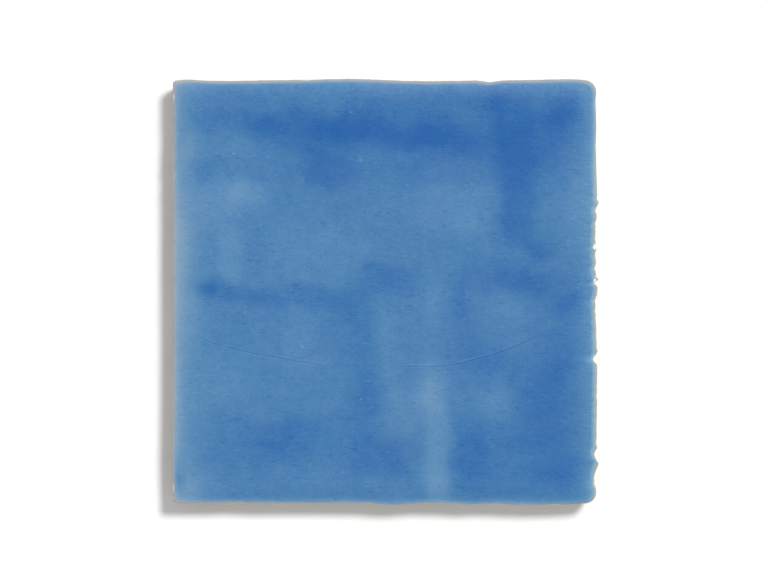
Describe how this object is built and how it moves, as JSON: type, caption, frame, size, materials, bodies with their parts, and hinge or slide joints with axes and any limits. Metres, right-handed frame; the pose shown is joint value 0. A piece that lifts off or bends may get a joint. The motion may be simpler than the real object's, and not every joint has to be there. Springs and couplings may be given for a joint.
{
  "type": "wall tile",
  "caption": "Square hand-made wall tile in mottled blue glaze, with a gently waved face, wandering edges and one torn edge.",
  "frame": {"origin": "centre of the tile's outline, on its flat back", "axes": "+Z out of the glazed face, +Y towards the face's top edge, +X towards its torn right edge"},
  "size_m": [0.131, 0.131, 0.0102],
  "materials": {
    "glaze": "glossy blue glaze on the face, bare buff clay on the sides and back"
  },
  "bodies": {
    "root": {"tile": "glaze"}
  },
  "joints": []
}
